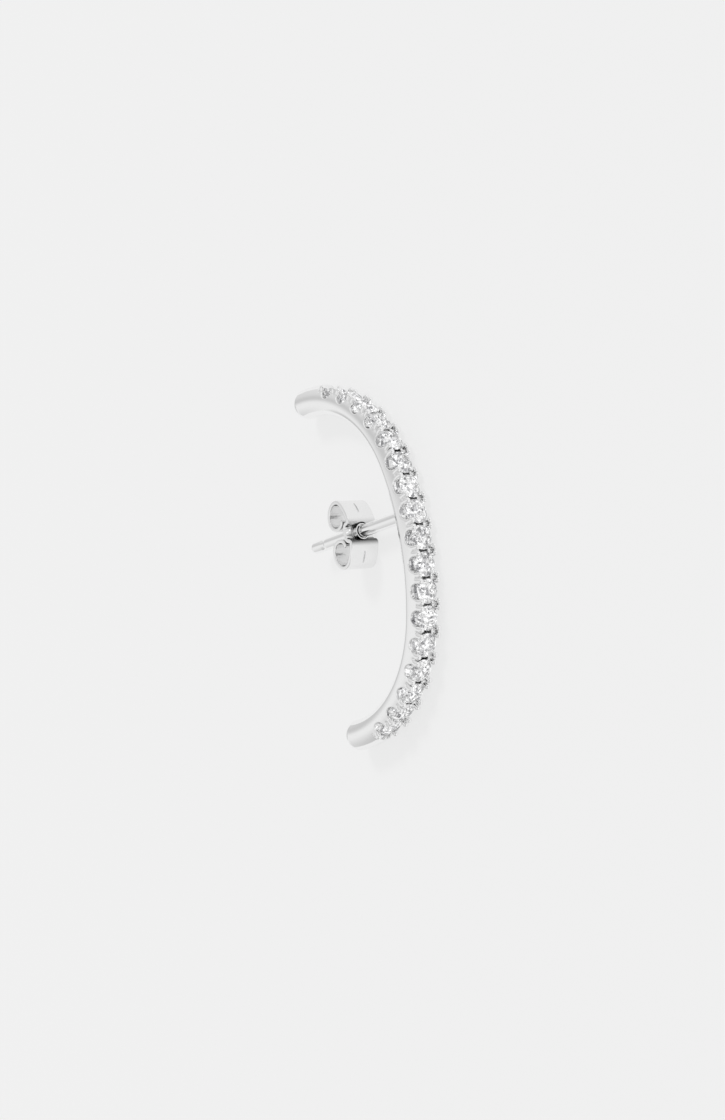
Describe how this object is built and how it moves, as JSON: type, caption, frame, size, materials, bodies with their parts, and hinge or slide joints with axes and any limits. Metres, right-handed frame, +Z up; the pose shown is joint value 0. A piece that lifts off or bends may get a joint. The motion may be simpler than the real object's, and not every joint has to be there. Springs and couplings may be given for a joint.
{
  "type": "curved bar stud earring with a row of stones and a butterfly clutch",
  "caption": "Curved bar stud earring: a round bowed rod with hooked ends, a scalloped row of round stones, a post at its back and a butterfly clutch that slides off.",
  "frame": {"origin": "on the post's axis, level with the back of the bar at its middle, where the post leaves the bar", "axes": "+X along the chord of the bar towards its shorter arm from the post, +Y along the post away from the bar, +Z up as the earring lies on its side; the post leans up from +Y by 1.16 degrees"},
  "size_m": [0.0242, 0.0115, 0.0022],
  "materials": {
    "bar_metal": "high polish white metal",
    "clutch_metal": "polished white metal",
    "stone": "clear cut stone"
  },
  "bodies": {
    "earring": {"bar": "bar_metal", "stone_01": "stone", "stone_02": "stone", "stone_03": "stone", "stone_04": "stone", "stone_05": "stone", "stone_06": "stone", "stone_07": "stone", "stone_08": "stone", "stone_09": "stone", "stone_10": "stone", "stone_11": "stone", "stone_12": "stone", "stone_13": "stone", "stone_14": "stone", "stone_15": "stone", "stone_16": "stone", "stone_17": "stone"},
    "back": {"clutch": "clutch_metal"}
  },
  "joints": [
    {"name": "clutch_slide", "type": "slide", "parent": "earring", "child": "back", "axis": [0, 0.9998, 0.0202], "range_m": [-0.0037, 0.0062]}
  ]
}
